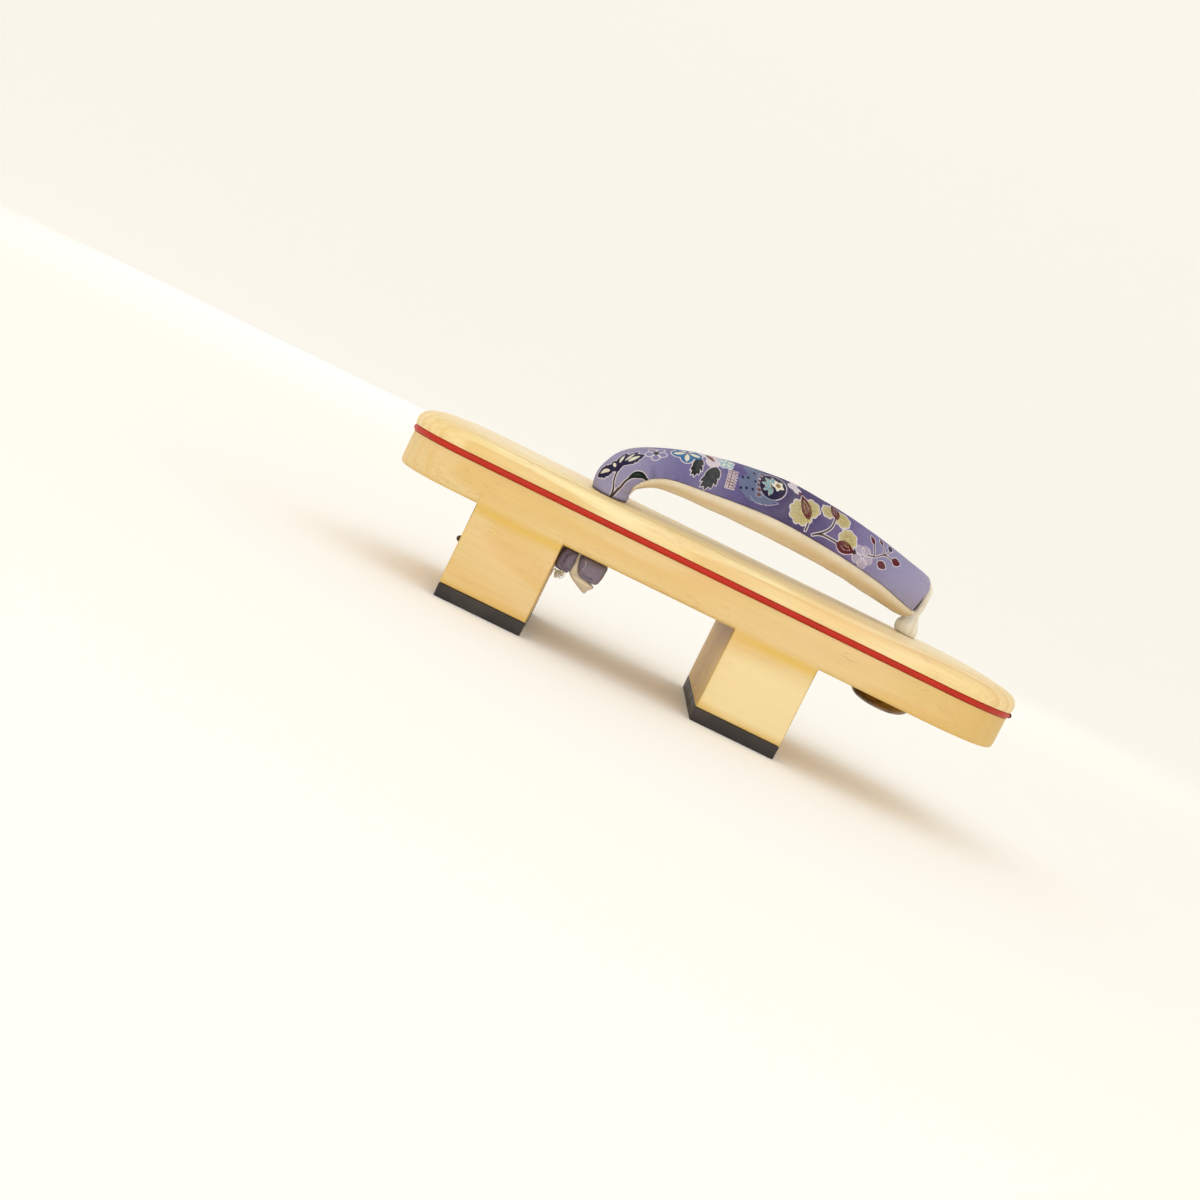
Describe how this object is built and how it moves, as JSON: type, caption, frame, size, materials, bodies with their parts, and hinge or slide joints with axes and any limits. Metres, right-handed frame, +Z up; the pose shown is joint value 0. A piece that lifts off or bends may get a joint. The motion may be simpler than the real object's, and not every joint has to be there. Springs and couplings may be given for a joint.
{
  "type": "geta sandal",
  "caption": "Wooden geta sandal for a woman: a block footbed raised on a front and a heel tooth with rubber tips, red cord round its edge and a padded floral thong strap.",
  "frame": {"origin": "on the floor, under the middle of the footbed", "axes": "-Y towards the toe, +Z up from the floor through the footbed, X across the sandal, which is alike on both sides"},
  "size_m": [0.0816, 0.2314, 0.0862],
  "materials": {
    "pale_wood": "satin",
    "red_cord": "glossy",
    "black_rubber": "matte",
    "violet_cloth": "matte",
    "cream_cloth": "matte",
    "white_cloth": "matte",
    "old_brass": "satin",
    "dark_steel": "satin"
  },
  "bodies": {
    "root": {"body": "pale_wood", "edge_cord": "red_cord", "rubber_front": "black_rubber", "rubber_heel": "black_rubber", "strap": "violet_cloth", "lining_left": "cream_cloth", "lining_right": "cream_cloth", "front_loop": "white_cloth", "roll_front_left": "violet_cloth", "roll_front_right": "violet_cloth", "roll_rear_left": "violet_cloth", "roll_rear_right": "violet_cloth", "tail_left": "cream_cloth", "tail_right": "cream_cloth", "toe_cover": "old_brass", "heel_tack": "dark_steel"}
  },
  "joints": []
}
